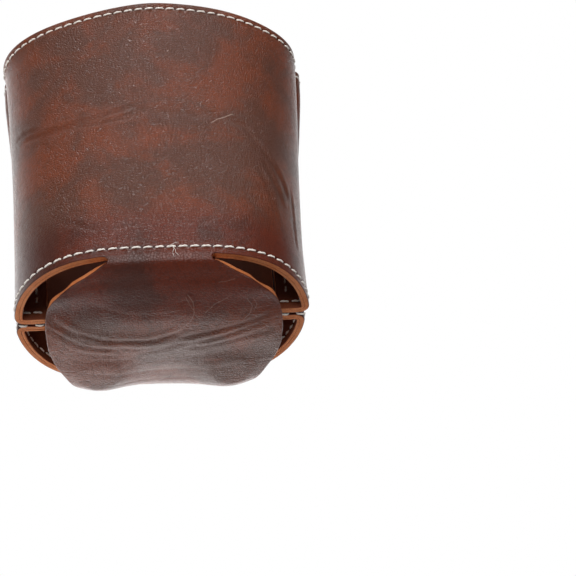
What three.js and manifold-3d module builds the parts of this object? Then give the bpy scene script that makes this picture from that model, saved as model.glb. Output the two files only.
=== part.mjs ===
// Leather dice cup: one long strip of lined leather, folded into a U and sewn up both sides.
//
// The strip's two ends are the front and back walls. Its middle is the base: a rounded tongue, joined
// to each wall by a narrow neck and cut free beside it, so that it hangs as a shallow sling. Each wall's
// side edges are folded inward as flanges. The front and back flanges lie grain face to grain face
// inside the cup and are sewn together. A line of lockstitch runs along each rim and each lower edge.
//
// Units are millimetres. +Z is up, the front faces -Y, and the origin is under the middle of the base,
// in the plane that the base rests on.

import * as THREE from 'three';
import { mergeVertices } from 'three/addons/utils/BufferGeometryUtils.js';
import Module from 'manifold-3d';

const wasm = await Module();
wasm.setup();

// ---- Driving dimensions -------------------------------------------------------------------------

const WALL_HEIGHT = 100;
const BASE_DROP = 9; // from the walls' lower edges down to the bottom of the base
const EDGE_Z = BASE_DROP;
const RIM_Z = EDGE_Z + WALL_HEIGHT;

const LEATHER = 1.4; // thickness of the outer leather
const LINING = 0.9;
const GLUE_GAP = 0.1; // between the leather and the lining bonded to it
const SEAM_GAP = 0.3; // between the two flanges of a side seam

// Half of the cup's outline at the mouth and at the foot. A higher squareness makes a fuller curve.
// A lower shoulder turns it into the fold later.
const MOUTH = { halfWidth: 46.9, halfDepth: 31.8, squareness: 1.5, shoulder: 0.46 };
const FOOT = { halfWidth: 42.6, halfDepth: 30.4, squareness: 3.5, shoulder: 0.63 };
const FOLD_RADIUS = 3.3; // grain side, where a wall turns inward
const FLANGE_REACH = 9.2; // from the cup's side to a flange's cut edge

const NECK_HALF_WIDTH = 15;
const BASE_HALF_WIDTH = 34.2;
const BASE_OUTLINE_POWER = 2.2; // 2 would be a round base
const BASE_PROFILE_POWER = 0.8; // 1 would be an elliptical sling
const BASE_FLAT = 0.3; // depth by which the bottom of the sling is flattened
const WING_LIFT = 1.9; // how far the base's free sides rise
const NECK_FADE = 9.6; // along the base, how fast it loses the walls' curve
const NECK_OVERLAP = 1.5; // length of strip inside the wall, so that wall and base are one piece
const NECK_SKIVE = 0.1; // taken off each face where the neck enters the wall

const THREAD = 0.6;
const THREAD_CLEARANCE = 0.15;
const RIM_STITCH_INSET = 2.45;
const EDGE_STITCH_INSET = 2.5;
const SEAM_STITCH_INSET = 6.3; // from the cup's side to the side seam's stitches
const SEAM_END_INSET = 4.5; // the side seam's stitches stop short of both edges

const WALL_STEPS = 12;
const FLANK_STEPS = 8;
const FOLD_STEPS = 4;
const BASE_ROWS = 25;
const BASE_COLUMNS = 8;
const THREAD_SIDES = 6;

// ---- Materials ----------------------------------------------------------------------------------

const leatherBrown = { color: '#4a2418', roughness: 0.5, metalness: 0 };
const liningBrown = { color: '#2a140c', roughness: 0.8, metalness: 0 };
const threadCream = { color: '#e6dccb', roughness: 0.75, metalness: 0 };

// ---- Solids -------------------------------------------------------------------------------------

// A solid through equal rings of points, made as an extrusion whose sections are then put in place.
function loft(rings) {
  const outline = rings[0].map((_, i) => {
    const angle = (2 * Math.PI * i) / rings[0].length;
    return new THREE.Vector2(Math.cos(angle), Math.sin(angle));
  });
  return loftOn(outline, rings);
}

// The same, with the end caps filled as the given flat outline would be.
function loftOn(outline, rings) {
  const steps = rings.length - 1;
  const shape = new THREE.Shape(outline);
  const geometry = new THREE.ExtrudeGeometry(shape, { depth: steps, steps, bevelEnabled: false });
  const place = geometry.attributes.position;
  const key = (x, y) => `${Math.fround(x)},${Math.fround(y)}`;
  const index = new Map(outline.map((p, i) => [key(p.x, p.y), i]));
  for (let v = 0; v < place.count; v++) {
    const ring = rings[Math.round(place.getZ(v))];
    const point = ring[index.get(key(place.getX(v), place.getY(v)))];
    place.setXYZ(v, point.x, point.y, point.z);
  }
  return geometry;
}

function toSolid(geometry) {
  const bare = geometry.clone();
  bare.deleteAttribute('normal');
  bare.deleteAttribute('uv');
  const merged = mergeVertices(bare, 1e-5);
  const vertProperties = new Float32Array(merged.attributes.position.array);
  const triVerts = new Uint32Array(merged.index.array);
  return new wasm.Manifold(new wasm.Mesh({ numProp: 3, vertProperties, triVerts }));
}

function toGeometry(solid) {
  const mesh = solid.getMesh();
  const geometry = new THREE.BufferGeometry();
  geometry.setAttribute('position', new THREE.BufferAttribute(mesh.vertProperties, 3));
  geometry.setIndex(new THREE.BufferAttribute(mesh.triVerts, 1));
  return geometry;
}

function halfTurn(geometry) {
  return geometry.clone().rotateZ(Math.PI);
}

// ---- The wall's outline -------------------------------------------------------------------------

// One point of the front wall's grain face: share runs from 0 at the middle to 1 at the cup's side.
function flankPoint(section, share) {
  const { halfWidth, halfDepth, squareness, shoulder } = section;
  const crown = halfDepth - FOLD_RADIUS;
  const left = 1 - share ** squareness;
  const y = -FOLD_RADIUS - crown * left ** shoulder;
  if (share === 1) {
    return { x: halfWidth, y, nx: 1, ny: 0 };
  }
  const climb = crown * shoulder * left ** (shoulder - 1) * squareness * share ** (squareness - 1);
  const slope = climb / halfWidth;
  const length = Math.hypot(slope, 1);
  return { x: share * halfWidth, y, nx: slope / length, ny: -1 / length };
}

// The right half of the grain face, from the middle of the wall to the flange's cut edge.
function halfOutline(section) {
  const points = [];
  for (let i = 0; i <= FLANK_STEPS; i++) {
    points.push(flankPoint(section, Math.sin((Math.PI / 2) * (i / FLANK_STEPS))));
  }
  const radius = FOLD_RADIUS - SEAM_GAP / 2;
  const centreX = section.halfWidth - radius;
  for (let i = 1; i <= FOLD_STEPS; i++) {
    const angle = (Math.PI / 2) * (i / FOLD_STEPS);
    const nx = Math.cos(angle);
    const ny = Math.sin(angle);
    points.push({ x: centreX + radius * nx, y: -FOLD_RADIUS + radius * ny, nx, ny });
  }
  points.push({ x: section.halfWidth - FLANGE_REACH, y: -SEAM_GAP / 2, nx: 0, ny: 1 });
  return points;
}

// The whole grain face, from the left flange's cut edge to the right one's.
function fullOutline(section) {
  const right = halfOutline(section);
  const left = right.slice(1).reverse();
  return [...left.map((p) => ({ ...p, x: -p.x, nx: -p.nx })), ...right];
}

// A point on the outline, moved inward from the grain face.
function inset(p, depth, z) {
  return new THREE.Vector3(p.x - p.nx * depth, p.y - p.ny * depth, z);
}

// The outline part of the way up the wall. The wall's surface is straight from foot to mouth.
function outlineAt(z) {
  const share = (z - EDGE_Z) / WALL_HEIGHT;
  const foot = fullOutline(FOOT);
  const mouth = fullOutline(MOUTH);
  const mix = (i, name) => foot[i][name] * (1 - share) + mouth[i][name] * share;
  return foot.map((_, i) => {
    const length = Math.hypot(mix(i, 'nx'), mix(i, 'ny'));
    return { x: mix(i, 'x'), y: mix(i, 'y'), nx: mix(i, 'nx') / length, ny: mix(i, 'ny') / length };
  });
}

// ---- Leather layers -----------------------------------------------------------------------------

// The front wall of one layer, between two depths below the grain face.
function wallLayer(outer, inner) {
  const rings = [];
  for (let i = 0; i <= WALL_STEPS; i++) {
    const z = EDGE_Z + (WALL_HEIGHT * i) / WALL_STEPS;
    const points = outlineAt(z);
    const back = [...points].reverse();
    rings.push([...points.map((p) => inset(p, outer, z)), ...back.map((p) => inset(p, inner, z))]);
  }
  const flat = rings[0].map((p) => new THREE.Vector2(p.x, p.y));
  return loftOn(flat, rings);
}

// The sling's line on the middle plane, from the front wall's lower edge to the back wall's: x is the
// distance from front to back, and y is the height.
class SlingCurve extends THREE.Curve {
  getPoint(t, target = new THREE.Vector2()) {
    const angle = Math.PI * t;
    const across = -Math.sign(Math.cos(angle)) * Math.abs(Math.cos(angle)) ** BASE_PROFILE_POWER;
    const down = Math.abs(Math.sin(angle)) ** BASE_PROFILE_POWER;
    const height = Math.max(EDGE_Z - (BASE_DROP + BASE_FLAT) * down, 0);
    return target.set(FOOT.halfDepth * across, height);
  }
}

// Half of the base's width, at a share of the way along the sling from front to back.
function baseHalfWidth(share) {
  const power = BASE_OUTLINE_POWER;
  const neck = (1 - (NECK_HALF_WIDTH / BASE_HALF_WIDTH) ** power) ** (1 / power);
  const along = Math.abs(2 * share - 1) * neck;
  return BASE_HALF_WIDTH * (1 - along ** power) ** (1 / power);
}

// How far the foot's outline lies behind its middle, at a distance to the side.
function curveOfWall(x) {
  const share = Math.min(Math.abs(x) / FOOT.halfWidth, 1);
  return FOOT.halfDepth + flankPoint(FOOT, share).y;
}

// The base of one layer: rows run across the sling, and it enters both walls by a skived neck.
function baseLayer(outer, inner) {
  const sling = new SlingCurve();
  sling.arcLengthDivisions = 600;
  const length = sling.getLength();
  const rows = [];
  for (let i = 0; i <= BASE_ROWS; i++) {
    const share = i / BASE_ROWS;
    const p = sling.getPointAt(share);
    const t = i === 0 ? new THREE.Vector2(0, -1) : sling.getTangentAt(share);
    if (i === BASE_ROWS) {
      t.set(0, 1);
    }
    const skive = i === 0 || i === BASE_ROWS ? NECK_SKIVE : 0;
    rows.push({ share, y: p.x, z: p.y, ny: t.y, nz: -t.x, skive, halfWidth: baseHalfWidth(share) });
  }
  const tab = (row) => ({ ...row, z: EDGE_Z + NECK_OVERLAP, halfWidth: row.halfWidth - NECK_SKIVE });
  rows.unshift(tab(rows[0]));
  rows.push(tab(rows[rows.length - 1]));

  const point = (row, side, depth) => {
    const x = side * row.halfWidth;
    const fromFront = row.share * length;
    const fromBack = length - fromFront;
    const fade = Math.exp(-((fromFront / NECK_FADE) ** 2)) - Math.exp(-((fromBack / NECK_FADE) ** 2));
    const rise = Math.max(Math.abs(side) * 2 - 1, 0) ** 2;
    const lift = WING_LIFT * rise * Math.sin(Math.PI * row.share);
    const y = row.y + curveOfWall(x) * fade;
    return new THREE.Vector3(x, y - row.ny * depth, row.z + lift - row.nz * depth);
  };
  const ring = (side) => [
    ...rows.map((row) => point(row, side, outer + row.skive)),
    ...[...rows].reverse().map((row) => point(row, side, inner - row.skive)),
  ];
  const flat = ring(0).map((p) => new THREE.Vector2(p.y, p.z));
  const rings = [];
  for (let i = 0; i <= BASE_COLUMNS; i++) {
    rings.push(ring((2 * i) / BASE_COLUMNS - 1));
  }
  return loftOn(flat, rings);
}

// One layer of the whole strip, as a single piece.
function stripLayer(outer, inner) {
  const wall = wallLayer(outer, inner);
  const walls = toSolid(wall).add(toSolid(halfTurn(wall)));
  return toGeometry(walls.add(toSolid(baseLayer(outer, inner))));
}

// ---- Threads ------------------------------------------------------------------------------------

// A cord through points that each carry the direction that it lies off the leather. Its section
// stands on that direction and on a second one across the cord, and it runs along their cross product.
function cord(path, across) {
  const radius = THREAD / 2;
  const rings = path.map(({ centre, normal }) => {
    const ring = [];
    for (let i = 0; i < THREAD_SIDES; i++) {
      const angle = (2 * Math.PI * i) / THREAD_SIDES;
      const point = centre.clone();
      point.addScaledVector(normal, radius * Math.cos(angle));
      point.addScaledVector(across, radius * Math.sin(angle));
      ring.push(point);
    }
    return ring;
  });
  return loft(rings);
}

const OFF_GRAIN = -(THREAD / 2 + THREAD_CLEARANCE);
const OFF_LINING = LEATHER + GLUE_GAP + LINING + THREAD / 2 + THREAD_CLEARANCE;

// A thread that runs along the front wall at one height, on the grain face or on the lining.
function levelThread(z, depth, skipAtEnds) {
  const points = outlineAt(z);
  const path = points.slice(skipAtEnds, points.length - skipAtEnds).map((p) => ({
    centre: inset(p, depth, z),
    normal: new THREE.Vector3(p.nx, p.ny, 0),
  }));
  return cord(path.reverse(), new THREE.Vector3(0, 0, 1));
}

// The needle thread stops halfway round each fold, before the flanges meet.
function needleThread(z) {
  return levelThread(z, OFF_GRAIN, 1 + FOLD_STEPS / 2);
}

function bobbinThread(z) {
  return levelThread(z, OFF_LINING, 0);
}

// The thread on the front flange's inner face, at the right side seam (side 1) or the left one (-1).
function seamThread(side) {
  const y = -SEAM_GAP / 2 - OFF_LINING;
  const normal = new THREE.Vector3(0, 1, 0);
  const taper = (MOUTH.halfWidth - FOOT.halfWidth) / WALL_HEIGHT;
  const end = (z) => {
    const x = FOOT.halfWidth - SEAM_STITCH_INSET + taper * (z - EDGE_Z);
    return { centre: new THREE.Vector3(side * x, y, z), normal };
  };
  return cord([end(RIM_Z - SEAM_END_INSET), end(EDGE_Z + SEAM_END_INSET)], new THREE.Vector3(1, 0, 0));
}

// ---- The cup ------------------------------------------------------------------------------------

const cup = new THREE.Group();

function addPiece(name, geometry, finish, wrap = 0) {
  const mesh = new THREE.Mesh(geometry, new THREE.MeshStandardMaterial(finish));
  mesh.name = name;
  mesh.rotation.z = wrap;
  cup.add(mesh);
}

addPiece('outer_leather', stripLayer(0, LEATHER), leatherBrown);
addPiece('lining', stripLayer(LEATHER + GLUE_GAP, LEATHER + GLUE_GAP + LINING), liningBrown);

const lines = { rim: RIM_Z - RIM_STITCH_INSET, edge: EDGE_Z + EDGE_STITCH_INSET };
for (const [wall, turn] of [['front', 0], ['back', Math.PI]]) {
  for (const [line, z] of Object.entries(lines)) {
    addPiece(`${wall}_${line}_needle_thread`, needleThread(z), threadCream, turn);
    addPiece(`${wall}_${line}_bobbin_thread`, bobbinThread(z), threadCream, turn);
  }
}

// The needle thread is on the front flange. Turned half round, it is the other seam's bobbin thread.
addPiece('left_seam_needle_thread', seamThread(-1), threadCream);
addPiece('left_seam_bobbin_thread', seamThread(1), threadCream, Math.PI);
addPiece('right_seam_needle_thread', seamThread(1), threadCream);
addPiece('right_seam_bobbin_thread', seamThread(-1), threadCream, Math.PI);

export default cup;
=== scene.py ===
"""Leather dice cup: the visual model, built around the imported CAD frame.

One strip of leather, lined with thinner leather, makes the front wall, the base and the back wall.
Everything is worked out in millimetres, and becomes metres when a mesh is made.
"""

import math

import bpy
import numpy as np
from mathutils import Matrix, Vector


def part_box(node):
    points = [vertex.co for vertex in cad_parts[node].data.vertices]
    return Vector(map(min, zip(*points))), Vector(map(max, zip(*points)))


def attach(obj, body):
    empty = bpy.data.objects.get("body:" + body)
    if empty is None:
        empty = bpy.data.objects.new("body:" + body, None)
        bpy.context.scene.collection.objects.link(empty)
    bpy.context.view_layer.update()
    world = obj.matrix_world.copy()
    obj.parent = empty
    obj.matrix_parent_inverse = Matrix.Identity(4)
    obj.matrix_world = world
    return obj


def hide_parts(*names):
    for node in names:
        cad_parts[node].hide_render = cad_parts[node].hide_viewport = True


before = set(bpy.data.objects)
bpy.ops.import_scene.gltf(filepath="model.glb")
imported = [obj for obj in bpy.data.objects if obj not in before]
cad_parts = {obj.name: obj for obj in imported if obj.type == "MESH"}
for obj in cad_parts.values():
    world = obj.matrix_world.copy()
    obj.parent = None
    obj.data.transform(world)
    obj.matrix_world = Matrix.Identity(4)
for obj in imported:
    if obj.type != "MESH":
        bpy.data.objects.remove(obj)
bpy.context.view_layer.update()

# ---- Dimensions, in millimetres -----------------------------------------------------------------

MM = 0.001


def box_mm(node):
    """The lowest and highest corner of a CAD node."""
    low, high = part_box(node)
    return np.array(low) / MM, np.array(high) / MM


leather_low, leather_high = box_mm("outer_leather")
RIM_Z = leather_high[2]
WALL_HEIGHT = 100.0
EDGE_Z = RIM_Z - WALL_HEIGHT

LEATHER = 1.4
GLUE = 0.06
LINING_INNER = 2.4  # depth of the lining's face below the grain face
SEAM_GAP = 0.02

# half width, half depth, squareness and shoulder of the cup's outline
MOUTH = (leather_high[0], -leather_low[1], 1.5, 0.46)
FOOT = (42.6, 30.4, 3.5, 0.63)
CROWN_SOFTNESS = 0.07
FOLD_RADIUS = 3.3
FLANGE_REACH = 9.2

NECK_HALF_WIDTH = 14.6
SLIT_RADIUS = 1.25
# half of the base's width at distances along it, from the front slits' ends to the back ones'
BASE_STATIONS = (4.1, 7.5, 11.7, 17.1, 26.1, 34.3, 42.5, 51.4, 56.9, 61.0, 64.4)
BASE_WIDTHS = (18.6, 26.4, 30.8, 33.1, 34.1, 33.9, 32.5, 29.2, 26.8, 24.6, 19.6)
BASE_HALF_WIDTH = 34.0
BASE_LEAN = 0.015  # how much further the base reaches to the right, as a share of its width
BASE_PROFILE_POWER = 0.8
BASE_DROP = EDGE_Z
BASE_FLAT = 0.3
NECK_FADE = 9.6
# where along the base it is pushed outward: share of its length, spread, and how far at its middle
# line, at its sides and at its two back lobes
BASE_PUSHES = (
    (0.12, 0.11, 0.65, 1.2, 0),
    (0.28, 0.11, 1.1, -1.5, 0),
    (0.45, 0.11, 0.6, -0.7, 0),
    (0.62, 0.11, -0.5, -0.1, 0),
    (0.76, 0.11, -1.5, 0.2, 3.2),
    (0.88, 0.06, -0.7, -0.6, 1.2),
    (0.95, 0.06, -1.0, -0.4, 0),
)
LOBE_X, LOBE_SPREAD = 19.5, 9.0
PUSH_FADE = 0.05  # share of the base's length over which the pushes start at each end
# how far the base is lifted up and back at distances along it, in its middle and more at its sides
LIFT_STATIONS = (0, 2.5, 5, 8, 14, 22, 30, 38, 48, 70)
LIFTS = (0, 0.8, 2.0, 2.8, 2.9, 2.0, 1.1, 0.4, 0, 0)
LIFT_SIDES, LIFT_POWER = 1.3, 2.2
LIFT_BACK, LIFT_UP = 0.78, 0.62
LOWEST = 0.2  # the grain face eases in towards the floor below this height

RIM_LINE = box_mm("front_rim_needle_thread")
EDGE_LINE = box_mm("front_edge_needle_thread")
RIM_STITCH_V = (RIM_LINE[0][2] + RIM_LINE[1][2]) / 2 - EDGE_Z
EDGE_STITCH_V = (EDGE_LINE[0][2] + EDGE_LINE[1][2]) / 2 - EDGE_Z
STITCH_PITCH = 3.28
STITCH_LENGTH = 2.75
THREAD = 0.58
LAST_STITCH_INSET = 1.2  # of a wall's stitch lines, from the flanges' cut edges
SEAM_STITCH_INSET = 6.3
SEAM_END_INSET = 4.5
SEAM_ENDS = (35.6, 40.4)  # where the seams' last stitches show, from the middle plane
SEAM_END_Y, SEAM_END_SAG = 0.15, 0.05
# Loose fibres at the front's lower stitches: along the line, below it, and off the leather.
FRAYED = (
    ((3.4, -0.4, 0.3), (3.9, 1.2, 0.45), (3.6, 2.6, 0.35), (4.0, 4.1, 0.3)),
    ((3.7, 0.1, 0.35), (4.3, 1.6, 0.5), (4.5, 2.8, 0.6), (5.2, 3.5, 0.5)),
    ((2.2, 0.5, 0.2), (3.5, -0.3, 0.5), (4.6, -0.9, 0.45), (5.6, -0.8, 0.3)),
)

# ---- The strip's surface ------------------------------------------------------------------------

NECK_CELLS = 92
FLANK_CELLS = 68
FOLD_CELLS = 8
FLANGE_CELLS = 8
BASE_CELLS = 104
COARSE = 4  # the hidden faces of both layers have every fourth row and column
FLANK_POINTS, FOLD_POINTS, FLANGE_POINTS = 600, 60, 40  # of the dense outline
STITCH_BAND = 1.1  # the rows are closer together this far above and below a stitch line
MARGIN_ROWS, STITCH_ROWS, WALL_ROWS = 4, 9, 119
SLIT_ROWS = 9  # across the round end of a slit


def half_outline(section):
    """Dense points along the right half of the grain face, from the middle to the flange's edge."""
    half_width, half_depth, squareness, shoulder = section
    share = np.sin(np.linspace(0, math.pi / 2, FLANK_POINTS))
    soft = CROWN_SOFTNESS**squareness
    raised = (share**2 + CROWN_SOFTNESS**2) ** (squareness / 2)
    whole = (1 + CROWN_SOFTNESS**2) ** (squareness / 2)
    fall = (raised - soft) / (whole - soft)
    crown = half_depth - FOLD_RADIUS
    flank = np.stack([share * half_width, -FOLD_RADIUS - crown * (1 - fall) ** shoulder], 1)
    angle = np.linspace(0, math.pi / 2, FOLD_POINTS)[1:]
    radius = FOLD_RADIUS - SEAM_GAP / 2
    fold = np.stack(
        [half_width + radius * (np.cos(angle) - 1), -FOLD_RADIUS + radius * np.sin(angle)], 1
    )
    reach = np.linspace(half_width - radius, half_width - FLANGE_REACH, FLANGE_POINTS)[1:]
    flange = np.stack([reach, np.full_like(reach, -SEAM_GAP / 2)], 1)
    return np.concatenate([flank, fold, flange])


foot_half, mouth_half = half_outline(FOOT), half_outline(MOUTH)
FLANK_END = FLANK_POINTS - 1
FOLD_END = FLANK_END + FOLD_POINTS - 1
HALF_END = FOLD_END + FLANGE_POINTS - 1


def unit(vectors):
    return vectors / np.linalg.norm(vectors, axis=-1, keepdims=True)


def mixed(values, first, second, share):
    """Between the values at two sets of point numbers."""
    return values[first] * (1 - share) + values[second] * share


def between(at, known, vectors):
    """Vectors read between the places where they are known."""
    return np.stack([np.interp(at, known, vectors[:, i]) for i in range(3)], -1)


def along(points):
    """Distance along a polyline at each of its points."""
    steps = np.linalg.norm(np.diff(points, axis=0), axis=1)
    return np.concatenate([[0], np.cumsum(steps)])


middle_length = along((foot_half + mouth_half) / 2)
neck_reach = NECK_HALF_WIDTH + SLIT_RADIUS
neck_q = np.interp(np.linspace(0, neck_reach, NECK_CELLS // 2 + 1), foot_half[:, 0], range(len(foot_half)))


def spread(start, end, cells):
    """Places between two dense outline points, evenly spaced along the outline."""
    ends = np.interp([start, end], range(len(middle_length)), middle_length)
    return np.interp(np.linspace(*ends, cells + 1), middle_length, range(len(middle_length)))[1:]


half_q = np.concatenate(
    [
        neck_q,
        spread(neck_q[-1], FLANK_END, FLANK_CELLS),
        spread(FLANK_END, FOLD_END, FOLD_CELLS),
        spread(FOLD_END, HALF_END, FLANGE_CELLS),
    ]
)
column_q = np.concatenate([-half_q[:0:-1], half_q])
COLUMNS = len(column_q)
SIDE_CELLS = FLANK_CELLS + FOLD_CELLS + FLANGE_CELLS
NECK_COLUMNS = slice(SIDE_CELLS, SIDE_CELLS + NECK_CELLS + 1)


def row_heights():
    """Heights of the wall's rows above its lower edge. They are closer together at each stitch line."""
    bands = [v + off for v in (EDGE_STITCH_V, RIM_STITCH_V) for off in (-STITCH_BAND, STITCH_BAND)]
    limits = [0, *bands, WALL_HEIGHT]
    counts = (MARGIN_ROWS, STITCH_ROWS, WALL_ROWS, STITCH_ROWS, MARGIN_ROWS)
    parts = [np.linspace(*ends, count)[1:] for *ends, count in zip(limits, limits[1:], counts)]
    return np.concatenate([[0], *parts])


row_v = row_heights()
ROWS = len(row_v)


def waves(points, seed, lengths, count=4):
    """Smooth noise of about unit size: plane waves of the given lengths in seeded directions."""
    random = np.random.default_rng(seed)
    total = np.zeros(len(points))
    for length in lengths:
        for _ in range(count):
            direction = random.normal(size=3)
            direction *= 2 * math.pi / length / np.linalg.norm(direction)
            total += np.sin(points @ direction + random.uniform(0, 2 * math.pi))
    return total / math.sqrt(len(lengths) * count / 2)


def curve_through(xs, ys, at):
    """A smooth curve through points, which doesn't overshoot between them."""
    xs, ys = np.array(xs, float), np.array(ys, float)
    steps = np.diff(ys) / np.diff(xs)
    slopes = np.concatenate([[steps[0]], np.zeros(len(xs) - 2), [steps[-1]]])
    same = steps[:-1] * steps[1:] > 0
    slopes[1:-1][same] = 2 * (steps[:-1] * steps[1:])[same] / (steps[:-1] + steps[1:])[same]
    i = np.clip(np.searchsorted(xs, at, "right") - 1, 0, len(xs) - 2)
    width = xs[i + 1] - xs[i]
    t = (at - xs[i]) / width
    rise = ys[i] * (1 + 2 * t) * (1 - t) ** 2 + ys[i + 1] * t * t * (3 - 2 * t)
    return rise + width * t * (1 - t) * (slopes[i] * (1 - t) - slopes[i + 1] * t)


def smooth(t):
    t = np.clip(t, 0, 1)
    return t * t * (3 - 2 * t)


def bell(away, width):
    return np.exp(-((away / width) ** 2))


# How far the flanges part at the lower edge and at the rim, and how soon the seam closes them.
FLANGE_SPLAY_LOW, FLANGE_SPLAY_HIGH, SPLAY_FADE = 0.38, 0.2, 5.0

# How far each side of each wall stands out from the plain outline, at shares of the wall's height.
# Left and right are as each wall is seen from outside.
SPREAD_HEIGHTS = (0, 0.08, 0.25, 0.55, 0.75, 0.92, 1)
FRONT_LEFT = (0.1, -0.3, -0.6, -0.65, -0.65, -0.3, 0.55)
FRONT_RIGHT = (0.2, -0.2, -0.9, -1.1, -0.9, -0.9, -0.9)
BACK_LEFT = (-0.9, -0.9, -1.1, -1.1, 0.0, 1.0, 1.1)
BACK_RIGHT = (0.3, 0.2, -0.6, -0.8, -0.2, 0.55, 0.6)


def wall_grid(left_spread, right_spread):
    """The front wall's grain face: one row of points for each height."""
    q = np.abs(column_q)
    sign = np.sign(column_q)

    def at(half):
        index = np.arange(len(half))
        return np.stack([np.interp(q, index, half[:, 0]) * sign, np.interp(q, index, half[:, 1])], 1)

    foot, mouth = at(foot_half), at(mouth_half)
    share = (row_v / WALL_HEIGHT)[:, None, None]
    plan = foot[None] * (1 - share) + mouth[None] * share
    inner = smooth((q - FLANK_END) / (FOLD_END - FLANK_END))
    low = FLANGE_SPLAY_LOW * bell(row_v, SPLAY_FADE)
    high = FLANGE_SPLAY_HIGH * bell(WALL_HEIGHT - row_v, SPLAY_FADE)
    plan[:, :, 1] -= (low + high)[:, None] * inner[None]
    reach = np.sin(math.pi / 2 * np.clip(q / FLANK_END, 0, 1)) ** 3 * sign
    for spread, where in ((left_spread, sign < 0), (right_spread, sign > 0)):
        out = curve_through(SPREAD_HEIGHTS, spread, row_v / WALL_HEIGHT)
        plan[:, :, 0] += out[:, None] * (reach * where)[None]
    height = np.broadcast_to((EDGE_Z + row_v)[:, None, None], plan.shape[:2] + (1,))
    return np.concatenate([plan, height], 2)


def sling():
    """Dense points of the base's line on the middle plane: distance front to back, and height."""
    angle = np.linspace(0, math.pi, 4001)
    cosine = np.cos(angle)
    across = -np.sign(cosine) * np.abs(cosine) ** BASE_PROFILE_POWER
    down = np.abs(np.sin(angle)) ** BASE_PROFILE_POWER
    height = np.maximum(EDGE_Z - (BASE_DROP + BASE_FLAT) * down, 0)
    return np.stack([FOOT[1] * across, height], 1)


def base_half_width(distance, length):
    """Half of the base's width at a distance along the sling. The slits beside it have round ends."""
    near = np.minimum(distance, length - distance)
    start = NECK_HALF_WIDTH + SLIT_RADIUS
    stations = (2 * SLIT_RADIUS, *BASE_STATIONS, length - 2 * SLIT_RADIUS)
    wide = curve_through(stations, (start, *BASE_WIDTHS, start), distance)
    round_end = start - np.sqrt(np.clip(SLIT_RADIUS**2 - (near - SLIT_RADIUS) ** 2, 0, None))
    return np.where(near < 2 * SLIT_RADIUS, round_end, wide)


def curve_of_wall(x):
    """How far the foot's outline lies behind its middle, at a distance to the side."""
    return FOOT[1] + np.interp(np.abs(x), foot_half[:FLANK_POINTS, 0], foot_half[:FLANK_POINTS, 1])


def base_grid():
    """The base's grain face: rows across the sling, from the front wall to the back wall."""
    line = sling()
    travelled = along(line)
    length = travelled[-1]
    near = SLIT_RADIUS * (1 - np.cos(np.linspace(0, math.pi, SLIT_ROWS)))
    middle = np.linspace(near[-1], length - near[-1], BASE_CELLS + 3 - 2 * SLIT_ROWS)[1:-1]
    distance = np.concatenate([near, middle, length - near[::-1]])
    share = distance / length
    y = np.interp(distance, travelled, line[:, 0])
    z = np.interp(distance, travelled, line[:, 1])
    ahead = unit(np.gradient(line, axis=0))
    out_y = np.interp(distance, travelled, ahead[:, 1])
    out_z = -np.interp(distance, travelled, ahead[:, 0])
    side = np.linspace(-1, 1, NECK_CELLS + 1)
    lean = 1 + BASE_LEAN * np.sign(side)[None] * np.sin(math.pi * share)[:, None]
    x = base_half_width(distance, length)[:, None] * side[None] * lean
    fade = bell(distance, NECK_FADE) - bell(length - distance, NECK_FADE)
    ends = smooth(share / PUSH_FADE) * smooth((1 - share) / PUSH_FADE)
    push = np.zeros_like(x)
    sideways = np.abs(x) / BASE_HALF_WIDTH
    for centre, reach, middle_push, side_push, lobe_push in BASE_PUSHES:
        shape = middle_push + side_push * sideways**2
        shape = shape + lobe_push * bell(np.abs(x) - LOBE_X, LOBE_SPREAD)
        push += (bell(share - centre, reach) * ends)[:, None] * shape
    lift = curve_through(LIFT_STATIONS, LIFTS, distance)[:, None] * (1 + LIFT_SIDES * sideways**LIFT_POWER)
    back_y = y[:, None] + curve_of_wall(x) * fade[:, None] + out_y[:, None] * push + LIFT_BACK * lift
    height = z[:, None] + out_z[:, None] * push + LIFT_UP * lift
    height = np.where(height < LOWEST, LOWEST * np.exp((height - LOWEST) / LOWEST), height)
    return np.stack([x, back_y, height], 2), distance


front = wall_grid(FRONT_LEFT, FRONT_RIGHT)
back = wall_grid(BACK_LEFT, BACK_RIGHT) * np.array([-1, -1, 1])
base, base_distance = base_grid()

points = np.concatenate([front.reshape(-1, 3), back.reshape(-1, 3), base[1:-1].reshape(-1, 3)])
front_id = np.arange(ROWS * COLUMNS).reshape(ROWS, COLUMNS)
back_id = front_id + ROWS * COLUMNS
base_id = np.concatenate(
    [
        front_id[:1, NECK_COLUMNS],
        np.arange((BASE_CELLS - 1) * (NECK_CELLS + 1)).reshape(BASE_CELLS - 1, -1) + 2 * ROWS * COLUMNS,
        back_id[:1, NECK_COLUMNS][:, ::-1],
    ]
)


def quads(grid, flip=False):
    """Faces over a grid of point numbers."""
    faces = np.stack([grid[:-1, :-1], grid[:-1, 1:], grid[1:, 1:], grid[1:, :-1]], -1).reshape(-1, 4)
    return faces[:, ::-1] if flip else faces


def strip_quads(step):
    return np.concatenate(
        [
            quads(front_id[::step, ::step]),
            quads(back_id[::step, ::step]),
            quads(base_id[::step, ::step], flip=True),
        ]
    )


def edge_loop():
    """The point numbers round the strip's whole edge, anticlockwise seen from the grain side."""
    left, right = SIDE_CELLS, SIDE_CELLS + NECK_CELLS
    parts = []
    for grid, crossing in ((front_id, base_id[:, 0]), (back_id, base_id[::-1, -1])):
        parts += [
            grid[0, right:-1],
            grid[:-1, -1],
            grid[-1, :0:-1],
            grid[:0:-1, 0],
            grid[0, :left],
            crossing[:-1],
        ]
    return np.concatenate(parts)


loop = edge_loop()


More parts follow.
